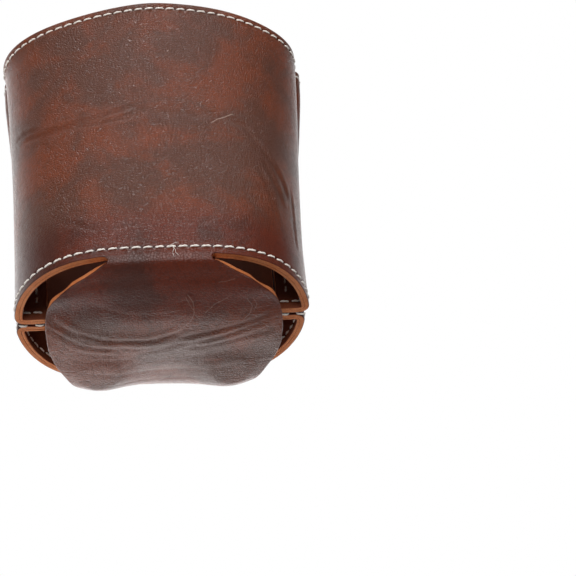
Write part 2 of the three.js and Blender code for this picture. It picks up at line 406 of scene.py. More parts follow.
def normals_of(places, faces):
    """Unit normals at the points, averaged over the faces around each."""
    a, b, c, d = (places[faces[:, i]] for i in range(4))
    across = np.cross(c - a, d - b)
    total = np.zeros_like(places)
    for i in range(4):
        np.add.at(total, faces[:, i], across)
    return unit(total)


# Places on the strip laid flat, front side: across from its middle line, and up from the front wall's
# lower edge. The base is below that edge, and the back wall has its own places, mirrored.
flat = np.zeros((len(points), 2))
column_u = np.interp(np.abs(column_q), range(len(middle_length)), middle_length) * np.sign(column_q)
flat[base_id, 0] = base[:, :, 0]
flat[base_id, 1] = -base_distance[:, None]
for grid in (front_id, back_id):
    flat[grid, 0] = column_u[None]
    flat[grid, 1] = row_v[:, None]
on_back = np.zeros(len(points), bool)
on_back[back_id] = True

BULGE, BULGE_SEED, BULGE_LENGTHS = 0.16, 5, (34, 55)
normals = normals_of(points, strip_quads(1))
# The seams hold the flanges flat against each other, so only the rest of the strip bulges.
free = np.ones(len(points))
free[front_id] = free[back_id] = 1 - smooth((np.abs(column_q) - FLANK_END) / (FOLD_END - FLANK_END))
points += normals * (BULGE * free * waves(points, BULGE_SEED, BULGE_LENGTHS))[:, None]

# Creases: depth, half width and the places they run through on the flat strip. A folded cup keeps the
# round print of its base on the wall, and the base has long creases where it bends under.
CREASES = (
    (0.27, 0.8, ((-48.8, 61.4), (-43.1, 59.3), (-38.3, 57.7), (-34.5, 55.4))),
    (0.31, 0.8, ((-44.7, 57.3), (-34, 54.2), (-25.4, 53.6), (-19, 53.6), (-9.9, 55.4), (-4.4, 57.3))),
    (0.26, 0.8, ((-36, 53.3), (-28.6, 52.6), (-18.4, 51.6), (-8.5, 52.4), (-3.6, 54.4))),
    (0.14, 0.9, ((-28.5, 58.6), (-22, 59.7), (-12.1, 59.2))),
    (0.14, 1.5, ((-6.4, 55.2), (6.4, 53.6), (16, 53.2), (23.2, 52.6), (28, 50.6))),
    (0.22, 1.0, ((21, 53), (27.3, 51.3), (31, 46.7), (34.6, 43.4), (38.3, 38.8), (41.7, 34.5), (44.5, 28.5))),
    (0.20, 0.8, ((33.3, 40.7), (36.2, 35.2), (39.2, 29.6), (41.6, 23.4))),
    (0.15, 0.8, ((30.5, 38.1), (34.2, 30.7), (36.6, 22.9), (38.3, 15.5))),
    (0.20, 0.8, ((45.5, 37), (46.6, 28), (46.9, 19), (47.5, 12))),
    (0.22, 0.8, ((-29.6, 15.9), (-24.9, 13.8), (-20.8, 11.1), (-15.2, 9.6))),
    (0.20, 0.8, ((-16.5, 8.8), (-9.8, 10.6), (-3.4, 11.6))),
    (0.15, 0.8, ((5.3, 10.6), (12.3, 11.4), (18.5, 13.3))),
    (0.12, 0.8, ((9.7, 8.4), (13.7, 10.8), (17.2, 12.4))),
    (0.12, 0.9, ((17.1, 78.4), (22.4, 77.6), (33.3, 77))),
    (0.12, 0.9, ((17.7, 76), (23.2, 75.2), (30.1, 75))),
    (0.33, 0.9, ((-32.5, -19.5), (-29.2, -22.9), (-23.6, -27.7), (-14.8, -31.2), (-5, -31.8),
                 (1.7, -29.7), (6, -27))),
    (0.29, 0.8, ((-32.5, -21.3), (-28.6, -25.1), (-22.7, -30.8), (-17.5, -33))),
    (0.26, 0.9, ((-33, -23.5), (-29.3, -27.9), (-21.3, -34), (-12, -36))),
    (0.29, 0.9, ((32.8, -21), (28.3, -23.5), (19.1, -27), (9.6, -29.6), (3.5, -31.4))),
    (0.24, 0.9, ((33, -23.8), (28.2, -25.9), (16.9, -31.2), (8, -34.1))),
    (0.18, 0.9, ((33, -29), (28, -31.2), (14.7, -35.2), (5, -37))),
    (0.13, 0.8, ((-27, -35.4), (-21.4, -37.6), (-12, -39.5))),
    (0.13, 0.8, ((-21, -40.3), (-14, -41.7), (-7.5, -41.4))),
    (0.14, 0.8, ((-9, -38.2), (-1.6, -36.9), (5, -34.6))),
    (0.11, 0.9, ((5, -42.2), (13.4, -41), (22, -39.2))),
    (0.15, 0.8, ((-14, -34.3), (-7.1, -35.9), (0.2, -35), (8.5, -32.8))),
    (0.09, 0.9, ((-24, -47), (-8, -49.5), (8, -49), (22, -46.5))),
    (0.08, 0.9, ((-18, -54), (-4, -55.5), (12, -54))),
    (0.07, 0.9, ((-22, -14), (-8, -19.5), (4, -20))),
)
CREASE_FADE = 4.0  # length over which a crease starts and ends
CREASE_STEP = 0.25
CREASE_REACH = 4  # how far a crease is felt, in its half widths
# the raised lips beside a crease: how far away, how wide, and how high on its left and right
LIP_AWAY, LIP_WIDTH, LIP_LEFT, LIP_RIGHT = 2, 1.3, 0.6, 0.3
FULL_SHADE_CREASE_DEPTH = 0.2  # a crease this deep or deeper gets the full painted shade


def press_creases():
    """How far the creases sink the grain face at each point, and how near each point is to one, as the weight
    of the painted shade in the creases.
    """
    sink = np.zeros(len(points))
    near = np.zeros(len(points))
    for depth, width, path in CREASES:
        path = np.array(path, float)
        travelled = along(path)
        fine = np.arange(0, travelled[-1], CREASE_STEP)
        line = np.stack([curve_through(travelled, path[:, i], fine) for i in range(2)], 1)
        ahead = unit(np.gradient(line, axis=0))
        low, high = line.min(0) - CREASE_REACH * width, line.max(0) + CREASE_REACH * width
        inside = np.all((flat > low) & (flat < high), axis=1) & ~on_back
        chosen = np.nonzero(inside)[0]
        offset = flat[chosen, None] - line[None]
        nearest = np.argmin((offset**2).sum(2), axis=1)
        offset = offset[range(len(chosen)), nearest]
        distance = np.linalg.norm(offset, axis=1)
        side = np.sign(ahead[nearest, 0] * offset[:, 1] - ahead[nearest, 1] * offset[:, 0]) * distance
        end = np.minimum(fine[nearest], fine[-1] - fine[nearest])
        weight = smooth(end / CREASE_FADE)
        groove = bell(distance, width)
        left = bell(side / width - LIP_AWAY, LIP_WIDTH)
        right = bell(side / width + LIP_AWAY, LIP_WIDTH)
        sink[chosen] += depth * weight * (groove - LIP_LEFT * left - LIP_RIGHT * right)
        near[chosen] = np.maximum(near[chosen], weight * groove * min(1, depth / FULL_SHADE_CREASE_DEPTH))
    return sink, near


crease_sink, crease = press_creases()
points -= normals * crease_sink[:, None]
normals = normals_of(points, strip_quads(1))

tangent = points[np.roll(loop, -1)] - points[np.roll(loop, 1)]
outward = unit(np.cross(tangent, normals[loop]))

# ---- Stitch lines -------------------------------------------------------------------------------


class WallLine:
    """A level line on a wall, measured along the leather from its middle."""

    def __init__(self, grid, v):
        row = np.interp(v, row_v, range(ROWS))
        lower = min(int(row), ROWS - 2)
        share = row - lower
        self.places = mixed(points, grid[lower], grid[lower + 1], share)
        self.normals = mixed(normals, grid[lower], grid[lower + 1], share)
        length = along(self.places)
        self.u = length - np.interp(COLUMNS // 2, range(COLUMNS), length)

    def at(self, u):
        return between(u, self.u, self.places), unit(between(u, self.u, self.normals))


def make_mesh(name, places, faces, materials=(), smooth_faces=True, slots=None):
    """An object from millimetre points and faces, which may be a list of arrays of 3 or 4 corners."""
    mesh = bpy.data.meshes.new(name)
    groups = faces if isinstance(faces, list) else [faces]
    corners = np.concatenate([f.reshape(-1) for f in groups]).astype(np.int32)
    sizes = np.concatenate([np.full(len(f), f.shape[1]) for f in groups])
    starts = np.concatenate([[0], np.cumsum(sizes)[:-1]]).astype(np.int32)
    mesh.vertices.add(len(places))
    mesh.vertices.foreach_set("co", (places * MM).astype(np.float32).ravel())
    mesh.loops.add(len(corners))
    mesh.loops.foreach_set("vertex_index", corners)
    mesh.polygons.add(len(starts))
    mesh.polygons.foreach_set("loop_start", starts)
    for material in materials:
        mesh.materials.append(material)
    if slots is not None:
        mesh.polygons.foreach_set("material_index", slots.astype(np.int32))
    mesh.polygons.foreach_set("use_smooth", np.full(len(starts), smooth_faces))
    mesh.update(calc_edges=True)
    mesh.validate()
    thing = bpy.data.objects.new(name, mesh)
    bpy.context.scene.collection.objects.link(thing)
    return thing


def set_values(thing, name, values):
    """A number at each point, which the material reads by name."""
    kind = "FLOAT" if values.ndim == 1 else "FLOAT_VECTOR"
    attribute = thing.data.attributes.new(name, kind, "POINT")
    attribute.data.foreach_set("value" if kind == "FLOAT" else "vector", values.astype(np.float32).ravel())


# ---- Materials ----------------------------------------------------------------------------------

DEEP_BROWN = (0.108, 0.036, 0.020)
RED_BROWN = (0.188, 0.041, 0.0135)
RUST = (0.205, 0.042, 0.0125)
# painted shade for where the leather turns under
BEND_PAINTED_SHADE = (0.66, 0.46, 0.44)
DARK_SPECK = (0.060, 0.019, 0.010)
HOLE_PAINTED_SHADE = (0.012, 0.006, 0.004)
SCRATCH_PALE = (0.55, 0.42, 0.35)
EDGE_TAN = (0.62, 0.20, 0.062)
EDGE_TAN_DARK = (0.40, 0.115, 0.034)
EDGE_TAN_PALE = (0.70, 0.30, 0.13)
LINING_BROWN = (0.20, 0.053, 0.022)
LINING_DARK = (0.12, 0.032, 0.014)
THREAD_CREAM = (1.0, 0.97, 0.92)
THREAD_SOIL_AND_PAINTED_SHADE = (0.74, 0.66, 0.58)
# the sizes of the grain's patterns, in millimetres
CLOUD_SIZE, PATCH_SIZE, DIMPLE_SIZE = 34, 13, 5
FINE_SIZE, PEBBLE_SIZE, PORE_SIZE = 1.6, 0.85, 0.42
GRAIN_ROUGHNESS = (0.34, 0.46)
# where the leather turns under, along the strip, with painted shade there, and how much smoother its grain is
# there
BEND_ABOVE, BEND_BELOW = (24, 8), (-30, -14)
BEND_SMOOTHING = 0.6
# how deep each fine relief is, in metres
GRAIN_RELIEF = WRINKLE_RELIEF = EDGE_RELIEF = 0.0002
DIMPLE_RELIEF, NAP_RELIEF, FUZZ_RELIEF = 0.0003, 0.0001, 0.00008


class Nodes:
    """The node tree of a material or the world, with short calls for the nodes used here."""

    def __init__(self, owner):
        owner.use_nodes = True
        self.owner = owner
        self.tree = owner.node_tree

    def link(self, value, socket):
        if isinstance(value, bpy.types.NodeSocket):
            self.tree.links.new(value, socket)
        else:
            socket.default_value = value

    def node(self, kind, inputs=None, output=0, **values):
        """A node's output. Its inputs are linked or set."""
        made = self.tree.nodes.new(kind)
        for name, value in values.items():
            setattr(made, name, value)
        for name, value in (inputs or {}).items():
            self.link(value, made.inputs[name])
        return made.outputs[output]

    def place(self):
        """The point on the object, in millimetres."""
        return self.scaled(self.node("ShaderNodeTexCoord", output="Object"), (1 / MM,) * 3)

    def scaled(self, vector, scale):
        return self.node("ShaderNodeMapping", {"Vector": vector, "Scale": scale})

    def noise(self, vector, size, detail=4, rough=0.55, twist=0.0, output="Fac"):
        inputs = {"Vector": vector, "Scale": 1 / size, "Detail": detail, "Roughness": rough}
        return self.node("ShaderNodeTexNoise", {**inputs, "Distortion": twist}, output)

    def cells(self, vector, size, feature="F1"):
        inputs = {"Vector": vector, "Scale": 1 / size}
        return self.node("ShaderNodeTexVoronoi", inputs, "Distance", feature=feature)

    def math(self, operation, a, b=0.0, clamp=False):
        return self.node("ShaderNodeMath", {0: a, 1: b}, operation=operation, use_clamp=clamp)

    def times(self, a, b):
        return self.math("MULTIPLY", a, b)

    def vector(self, operation, a, b, output="Vector"):
        return self.node("ShaderNodeVectorMath", {0: a, 1: b}, output, operation=operation)

    def ramp(self, value, low, high, to_low=0.0, to_high=1.0):
        inputs = {"Value": value, "From Min": low, "From Max": high, "To Min": to_low, "To Max": to_high}
        return self.node("ShaderNodeMapRange", inputs, "Result", interpolation_type="SMOOTHSTEP")

    def mix(self, share, a, b, kind="MIX"):
        a, b = ((*colour, 1) if isinstance(colour, tuple) else colour for colour in (a, b))
        inputs = {"Factor": share, 6: a, 7: b}
        return self.node("ShaderNodeMix", inputs, 2, data_type="RGBA", blend_type=kind)

    def value(self, name, output="Fac"):
        return self.node("ShaderNodeAttribute", output=output, attribute_name=name)

    def part(self, vector, axis):
        return self.node("ShaderNodeSeparateXYZ", {0: vector}, axis)

    def bump(self, height, distance, strength, under=None):
        """Distance is in metres."""
        inputs = {"Strength": strength, "Distance": distance, "Height": height}
        if under is not None:
            inputs["Normal"] = under
        return self.node("ShaderNodeBump", inputs, "Normal")

    def finish(self, colour, roughness, normal, **constants):
        """The material, with its leather or thread shader set."""
        shader = self.tree.nodes["Principled BSDF"]
        self.link(colour, shader.inputs["Base Color"])
        self.link(roughness, shader.inputs["Roughness"])
        self.link(normal, shader.inputs["Normal"])
        for name, value in constants.items():
            shader.inputs[name.replace("_", " ")].default_value = value
        return self.owner

    def switch(self, share, first, second, output):
        """Shows the second shader instead of the first where share is 1."""
        chosen = self.node("ShaderNodeMixShader", {0: share, 1: first, 2: second})
        self.link(chosen, self.tree.nodes[output].inputs["Surface"])


# Pale scratches: how strong, and the places they run through on the flat strip.
SCRATCHES = (
    (0.75, ((17.3, 50.4), (19.4, 52.4), (21.3, 53.4), (23.9, 55.2))),
    (0.18, ((7.3, -12.6), (8.8, -15.3), (9.0, -19.3), (8.0, -22.7), (4.3, -26.8), (-2.1, -29.2))),
    (0.15, ((6.7, -13.3), (8.5, -17.7))),
    (0.15, ((12.1, -19.5), (14.7, -16.4), (18.6, -14.1))),
    (0.18, ((24.1, -14.6), (25.6, -17.7), (25.1, -20.7), (23.4, -23.1))),
    (0.15, ((25.9, -14.2), (26.9, -17.4), (26.1, -20.4))),
    (0.15, ((16.2, -8.9), (20.8, -7.6))),
    (0.60, ((5.0, 78.9), (5.3, 79.5))),
)
SCRATCH_WIDTH = 0.17
SCRATCH_WANDER, SCRATCH_WANDER_SIZE = 0.5, 1.25


def scratches(n, places):
    """The scratches' strength at each place on the flat strip."""
    wander = n.noise(places, SCRATCH_WANDER_SIZE, 2, 0.5, output="Color")
    wavering = n.vector("ADD", n.vector("MULTIPLY", wander, (SCRATCH_WANDER, SCRATCH_WANDER, 0)), places)
    total = 0.0
    for strength, path in SCRATCHES:
        for start, end in zip(path, path[1:]):
            ahead = (end[0] - start[0], end[1] - start[1], 0)
            start = (start[0] + SCRATCH_WANDER / 2, start[1] + SCRATCH_WANDER / 2, 0)
            offset = n.vector("SUBTRACT", wavering, start)
            share = n.vector("DOT_PRODUCT", offset, ahead, "Value")
            share = n.math("DIVIDE", share, ahead[0] ** 2 + ahead[1] ** 2, clamp=True)
            nearest = n.node("ShaderNodeVectorMath", {0: ahead, "Scale": share}, operation="SCALE")
            distance = n.vector("DISTANCE", offset, nearest, "Value")
            total = n.math("MAXIMUM", total, n.ramp(distance, SCRATCH_WIDTH, 0.0, 0.0, strength))
    return total


# Patches of the front wall and base where the wax is pulled up (redder) or thick (darker):
# the place on the flat strip, the radius, and how much redder.
PATCHES = (
    (-1, 86, 10, 0.6), (25, 79, 9, 0.6), (21, 68, 9, 0.8), (11, 60, 9, 0.6),
    (1, 57, 8, 0.5), (-17, 50, 9, 0.5), (-34, 42, 12, 1.2), (-22, 23, 9, 0.6),
    (-8, 13, 11, 0.7), (5, 14, 11, 0.8), (15, 26, 16, -0.9), (-28, 85, 15, -0.7),
    (-19, 63, 11, -0.8), (9, 83, 11, -0.8), (-4, 50, 10, -0.5), (32, 45, 16, -0.6),
    (-33, 17, 13, -0.8), (-4, 31, 12, -0.5), (7, -6, 10, 0.7), (-8, -9, 10, -0.5),
    (-22, -14, 9, 0.5), (24, -28, 11, 0.5), (-9, -52, 12, 0.6), (4, -34, 14, -0.4),
)
PATCH_SHARE = 0.13
PATCH_REACH = 1.3  # where a patch ends, in its radii
PATCH_WANDER = (16, 16, 0)  # how far a patch's outline strays
PATCH_WANDER_SIZE = 100 / 9
HALF = (0.5, 0.5, 0.5)


def patches_of_wax(n, places):
    """How much redder each place on the flat strip is than its clouds make it."""
    wander = n.noise(places, PATCH_WANDER_SIZE, 4, 0.5, output="Color")
    offset = n.vector("MULTIPLY", n.vector("SUBTRACT", wander, HALF), PATCH_WANDER)
    place = n.vector("ADD", places, offset)
    total = 0.0
    for u, v, radius, redder in PATCHES:
        distance = n.vector("DISTANCE", place, (u, v, 0), "Value")
        total = n.math("ADD", total, n.ramp(distance, radius * PATCH_REACH, 0, 0, redder * PATCH_SHARE))
    return total


WRINKLE_STRETCH = (0.05, 0.30, 1)  # long across the strip, close together along it
WRINKLE_WIDTH = 0.035
WALL_WRINKLES = 0.08  # as a share of the base's


def wrinkles(n, places):
    """Fine creases that run across the strip, strongest on the base."""
    bent = n.noise(n.scaled(places, WRINKLE_STRETCH), 1, 3, 0.6, 0.6)
    line = n.math("ABSOLUTE", n.math("SUBTRACT", bent, 0.5))
    ridge = n.ramp(line, 0.0, WRINKLE_WIDTH)
    where = n.noise(places, 22, 2)
    on_base = n.ramp(n.part(places, "Y"), -12, -26, WALL_WRINKLES, 1.0)
    share = n.times(n.ramp(where, 0.45, 0.6), on_base)
    return n.times(n.math("SUBTRACT", ridge, 1.0), share)


def grain_leather():
    """Waxed pull-up leather: red-brown, clouded with darker brown, with a fine pebbled grain, and painted
    shade in its creases, needle holes and where it turns under.
    """
    n = Nodes(bpy.data.materials.new("grain_leather"))
    place = n.place()
    places = n.value("flat", "Vector")
    clouds = n.noise(place, CLOUD_SIZE, 3, 0.5, 0.5)
    patches = n.noise(place, PATCH_SIZE, 5, 0.62, 0.5)
    fine = n.noise(place, FINE_SIZE, 4, 0.7)
    pebbles = n.cells(place, PEBBLE_SIZE, "DISTANCE_TO_EDGE")
    pores = n.cells(place, PORE_SIZE)

    mottle = n.math("ADD", n.times(clouds, 0.45), n.times(patches, 0.55))
    mottle = n.math("ADD", mottle, patches_of_wax(n, places))
    tone = n.mix(n.ramp(mottle, 0.41, 0.59), DEEP_BROWN, RED_BROWN)
    tone = n.mix(n.times(n.ramp(patches, 0.52, 0.72), 0.35), tone, RUST)
    tone = n.mix(n.times(n.ramp(fine, 0.4, 0.7), 0.35), tone, DARK_SPECK)
    tone = n.mix(n.times(n.ramp(pebbles, 0.16, 0.0), 0.45), tone, DARK_SPECK)
    # painted shade: near-black in the needle holes
    tone = n.mix(n.times(n.value("hole"), 0.92), tone, HOLE_PAINTED_SHADE)
    # painted shade in the creases: darker the nearer and deeper the crease
    tone = n.mix(n.times(n.value("crease"), 0.35), tone, DEEP_BROWN)

    along_strip = n.part(places, "Y")
    bend = n.times(n.ramp(along_strip, *BEND_ABOVE), n.ramp(along_strip, *BEND_BELOW))
    # painted shade: the leather is darkened where it turns under the base
    tone = n.mix(bend, tone, BEND_PAINTED_SHADE, "MULTIPLY")
    tone = n.mix(scratches(n, places), tone, SCRATCH_PALE)

    height = n.math("ADD", n.ramp(pebbles, 0.0, 0.16), n.times(pores, 0.4))
    height = n.times(height, n.math("SUBTRACT", 1.0, n.times(bend, BEND_SMOOTHING)))
    normal = n.bump(height, GRAIN_RELIEF, 0.6)
    normal = n.bump(wrinkles(n, places), WRINKLE_RELIEF, 0.6, normal)
    normal = n.bump(n.noise(place, DIMPLE_SIZE, 4, 0.6), DIMPLE_RELIEF, 0.35, normal)
    roughness = n.ramp(fine, 0.2, 0.8, *GRAIN_ROUGHNESS)
    return n.finish(tone, roughness, normal, Specular_IOR_Level=0.34)


def cut_edge():
    """The raw cut edge: orange-tan fibres."""
    n = Nodes(bpy.data.materials.new("cut_edge"))
    place = n.place()
    fuzz = n.noise(place, 0.5, 5, 0.75)
    blotch = n.noise(place, 6, 3)
    tone = n.mix(n.ramp(fuzz, 0.3, 0.7), EDGE_TAN_DARK, EDGE_TAN)
    tone = n.mix(n.times(n.ramp(blotch, 0.4, 0.7), 0.3), tone, EDGE_TAN_PALE)
    normal = n.bump(fuzz, EDGE_RELIEF, 0.6)
    return n.finish(tone, 0.8, normal, Specular_IOR_Level=0.3)


def lining_leather():
    """Smooth dark split leather, with a soft nap."""
    n = Nodes(bpy.data.materials.new("lining_leather"))
    place = n.place()
    cloud = n.noise(place, 18, 3)
    nap = n.noise(place, 0.6, 4, 0.7)
    tone = n.mix(n.ramp(cloud, 0.35, 0.65), LINING_DARK, LINING_BROWN)
    tone = n.mix(n.times(n.ramp(nap, 0.3, 0.7), 0.4), tone, LINING_DARK)
    # painted shade: near-black in the needle holes
    tone = n.mix(n.times(n.value("hole"), 0.9), tone, HOLE_PAINTED_SHADE)
    normal = n.bump(nap, NAP_RELIEF, 0.5)
    return n.finish(tone, n.ramp(nap, 0.3, 0.7, 0.55, 0.7), normal, Specular_IOR_Level=0.12)


def sewing_thread():
    """Off-white polyester thread, with painted shade in the dips between its plies."""
    n = Nodes(bpy.data.materials.new("sewing_thread"))
    place = n.place()
    fuzz = n.noise(place, 0.25, 4, 0.7)
    soil = n.noise(place, 7, 2)
    tone = n.mix(n.ramp(fuzz, 0.3, 0.7), THREAD_SOIL_AND_PAINTED_SHADE, THREAD_CREAM)
    tone = n.mix(n.times(n.ramp(soil, 0.45, 0.75), 0.15), tone, THREAD_SOIL_AND_PAINTED_SHADE)
    # painted shade in the dips between the plies
    tone = n.mix(n.times(n.value("ply"), 0.25), tone, THREAD_SOIL_AND_PAINTED_SHADE)
    normal = n.bump(fuzz, FUZZ_RELIEF, 0.5)
    return n.finish(tone, 0.7, normal, Sheen_Weight=0.2, Sheen_Roughness=0.5)


GRAIN, EDGE, LINING, SEWING = grain_leather(), cut_edge(), lining_leather(), sewing_thread()

# ---- Leather layers -----------------------------------------------------------------------------

BACK_SHIFT = 500.0  # keeps the back wall's pattern apart from the front's
HOLE_BAND = 3  # the rows this near to a stitch line may dip
HOLE_RADIUS = 0.42
# depth and half width of the line that the thread presses in, and of the dip round each hole
PRESSED_DEPTH, PRESSED_WIDTH = 0.10, 0.55
DIP_DEPTH, DIP_WIDTH = 0.22, 0.45
LINING_DIP = 0.6  # as a share of the outer leather's


def hole_field():
    """At each point of the strip, how near it is to a needle hole (1 at the hole), which the materials darken
    with painted shade, and the dip there.
    """
    near = np.zeros(len(points))
    dip = np.zeros(len(points))
    for grid in (front_id, back_id):
        for v in (EDGE_STITCH_V, RIM_STITCH_V):
            line = WallLine(grid, v)
            rows = np.abs(row_v - v) < HOLE_BAND
            u = np.broadcast_to(line.u[None], (rows.sum(), COLUMNS))
            off = (row_v[rows] - v)[:, None]
            phase = np.abs((u / STITCH_PITCH) % 1 - 0.5) * STITCH_PITCH
            distance = np.hypot(phase, off)
            ids = grid[rows]
            near[ids] = np.maximum(near[ids], bell(distance, HOLE_RADIUS))
            dip[ids] -= PRESSED_DEPTH * bell(off, PRESSED_WIDTH)
            dip[ids] -= DIP_DEPTH * bell(distance, DIP_WIDTH)
    return near, dip


hole, dip = hole_field()

TUFT_HEIGHT, TUFT_SEED, TUFT_LENGTHS = 0.03, 21, (1.7, 2.9, 5)  # of the cut edge


def layer(name, faces_step, visible_depth, hidden_depth, rings, materials, relief, fields):
    """One layer of the strip. Its visible face is fine, its hidden face is coarse, and rings of points
    go round its cut edge: each ring has a depth and how far it stands in from the edge."""
    inward = visible_depth > hidden_depth
    fine_loop, coarse_loop = loop[::faces_step], loop[::COARSE]
    used = np.unique(strip_quads(faces_step))
    number = np.full(len(points), -1)
    number[used] = np.arange(len(used))
    visible = points - normals * visible_depth + normals * relief[:, None]
    visible[loop] -= outward * rings[0][1]
    places = [visible[used]]
    values = {key: [field[used]] for key, field in fields.items()}

    def add_points(group):
        """Points without any of the fields' values, which are the grain face's."""
        places.append(group)
        for key, parts in values.items():
            parts.append(np.zeros((len(group), *fields[key].shape[1:])))

    faces = [number[strip_quads(faces_step)]]
    slots = [np.zeros(len(faces[0]), int)]
    if inward:
        faces[0] = faces[0][:, ::-1]
    count = len(used)
    previous = number[fine_loop]
    fine_outward = outward[::faces_step]
    tufts = waves(points[fine_loop], TUFT_SEED, TUFT_LENGTHS) * TUFT_HEIGHT
    for i, (depth, back_off) in enumerate(rings[1:]):
        ring = points[fine_loop] - normals[fine_loop] * depth
        ring += fine_outward * ((tufts if i > 0 else 0 * tufts) - back_off)[:, None]
        add_points(ring)
        ids = np.arange(count, count + len(ring))
        count += len(ring)
        band = np.stack([previous, ids, np.roll(ids, -1), np.roll(previous, -1)], 1)
        faces.append(band[:, ::-1] if inward else band)
        slots.append(np.full(len(band), 0 if i < 2 else 1))
        previous = ids
    hidden_used = np.unique(strip_quads(COARSE))
    hidden_number = np.full(len(points), -1)
    hidden_number[hidden_used] = np.arange(len(hidden_used)) + count
    add_points((points - normals * hidden_depth)[hidden_used])
    hidden_faces = hidden_number[strip_quads(COARSE)]
    faces.append(hidden_faces if inward else hidden_faces[:, ::-1])
    slots.append(np.full(len(hidden_faces), 0))
    ratio = COARSE // faces_step
    a = hidden_number[coarse_loop]
    b = np.roll(a, -1)
    triangles = []
    for m in range(ratio):
        f0 = previous[m::ratio]
        f1 = np.roll(previous, -(m + 1))[::ratio]
        apex = a if m < ratio / 2 else b
        triangles.append(np.stack([f0, apex, f1], 1))
        if m == (ratio - 1) // 2:
            triangles.append(np.stack([f1, a, b], 1))
    triangles = np.concatenate(triangles)
    if inward:
        triangles = triangles[:, ::-1]
    slots.append(np.full(len(triangles), 1))
    all_faces = [np.concatenate(faces), triangles]
    thing = make_mesh(name, np.concatenate(places), all_faces, materials, slots=np.concatenate(slots))
    for key, parts in values.items():
        set_values(thing, key, np.concatenate(parts))
    return thing


flat_field = np.column_stack([flat, on_back * BACK_SHIFT])
fields = {"hole": hole, "crease": crease, "flat": flat_field}
# the rings round each cut edge: how deep below the grain face, and how far in from the edge
outer_rings = [(0, 0.22), (0.08, 0.08), (0.24, 0.0), (0.7, 0.0), (1.2, 0.0)]
outer = layer("leather_strip", 1, 0, LEATHER, outer_rings, [GRAIN, EDGE], dip, fields)
lining_rings = [(LINING_INNER, 0.14), (2.34, 0.04), (2.24, 0.0), (1.85, 0.0)]
lining_dip = -LINING_DIP * dip
lining = layer(
    "lining_strip", 2, LINING_INNER, LEATHER + GLUE, lining_rings, [LINING, EDGE], lining_dip, fields
)

# ---- Stitches -----------------------------------------------------------------------------------

STITCH_SEGMENTS = 12
STITCH_SIDES = 10
STITCH_LENGTHS = (0.94, 1.04)  # shortest and longest, as shares of the usual length
STITCH_SLANTS = (0.12, 0.34)
STITCH_DIVE = 0.62 * THREAD + 0.1  # how far its ends go down into their holes
STITCH_RISE = 0.12 * THREAD  # how far its middle stands off the leather
STITCH_FLATNESS = 0.86
TWIST_RATE = 1.15  # radians per millimetre
PLY_RELIEF = 0.16
FIBRE, FIBRE_SIDES, FIBRE_STEPS, FIBRE_TIP = 0.14, 6, 14, 0.15
UP = np.array([0.0, 0, 1])
ACROSS = np.array([1.0, 0, 0])
BACKWARD = np.array([0.0, 1, 0])


def tube_faces(steps, sides, start):
    """Faces of a closed tube. Its rings of points come first, then a point for each of its two tips."""
    grid = start + np.arange(steps * sides).reshape(-1, sides)
    faces = [quads(np.concatenate([grid, grid[:, :1]], 1))]
    tip = start + steps * sides
    for end, rim, order in ((tip, grid[0], 1), (tip + 1, grid[-1], -1)):
        faces.append(np.stack([np.full(sides, end), np.roll(rim, -1), rim], 1)[:, ::order])
    return faces


def thread_mesh(name, places, faces):
    four = np.concatenate([f for f in faces if f.shape[1] == 4])
    three = np.concatenate([f for f in faces if f.shape[1] == 3])
    return make_mesh(name, np.concatenate(places), [four, three], [SEWING])


def stitches(name, centres, at, cross, off):
    """One twisted stitch at each place along a line. at(u) gives points and normals on the leather, and
    cross is the direction across the line; off is how far the thread's middle stands off the leather."""
    random = np.random.default_rng(len(name) * 7 + len(centres))
    turn = np.linspace(0, 2 * math.pi, STITCH_SIDES, endpoint=False)
    share = np.linspace(-1, 1, STITCH_SEGMENTS + 1)
    places, faces, plies = [], [], []
    for centre in centres:
        length = STITCH_LENGTH * random.uniform(*STITCH_LENGTHS)
        slant = random.uniform(*STITCH_SLANTS)
        place, normal = at(centre + share * length / 2)
        height = off - STITCH_DIVE * np.abs(share) ** 3.2
        path = place + normal * height[:, None] + cross * (slant * share * 0.5)[:, None]
        forward = unit(np.gradient(path, axis=0))
        side = unit(np.cross(forward, normal))
        up = np.cross(side, forward)
        radius = THREAD / 2 * np.sqrt(np.clip(1.06 - np.abs(share) ** 5, 0.05, 1))
        twist = share * length * TWIST_RATE + random.uniform(0, 6.28)
        ply = np.cos(2 * (turn[None] - twist[:, None]))
        across = radius[:, None] * (1 + PLY_RELIEF * ply)
        ring = (
            path[:, None]
            + side[:, None] * (np.cos(turn)[None] * across)[:, :, None]
            + up[:, None] * (np.sin(turn)[None] * across * STITCH_FLATNESS)[:, :, None]
        )
        faces += tube_faces(len(ring), STITCH_SIDES, sum(len(p) for p in places))
        places += [ring.reshape(-1, 3), path[[0, -1]]]
        # the ply value: how deep in the dip between plies each point lies, where the thread's material paints
        # shade
        plies += [(0.5 - 0.5 * ply).reshape(-1), np.zeros(2)]
    thing = thread_mesh(name, places, faces)
    set_values(thing, "ply", np.concatenate(plies))
    return thing


def fibres(name, paths):
    """Loose ends of thread: a thin round fibre along each path of points."""
    turn = np.linspace(0, 2 * math.pi, FIBRE_SIDES, endpoint=False)[None, :, None]
    radius = FIBRE / 2 * np.sqrt(np.linspace(1, FIBRE_TIP, FIBRE_STEPS))[:, None, None]
    places, faces = [], []
    for path in paths:
        travelled = along(path)
        fine = np.linspace(0, travelled[-1], FIBRE_STEPS)
        line = np.stack([curve_through(travelled, path[:, i], fine) for i in range(3)], 1)
        forward = np.gradient(line, axis=0)
        side = unit(np.cross(forward, UP + 0.01))
        over = unit(np.cross(forward, side))
        ring = line[:, None] + radius * (side[:, None] * np.cos(turn) + over[:, None] * np.sin(turn))
        faces += tube_faces(FIBRE_STEPS, FIBRE_SIDES, sum(len(p) for p in places))
        places += [ring.reshape(-1, 3), line[[0, -1]]]
    return thread_mesh(name, places, faces)


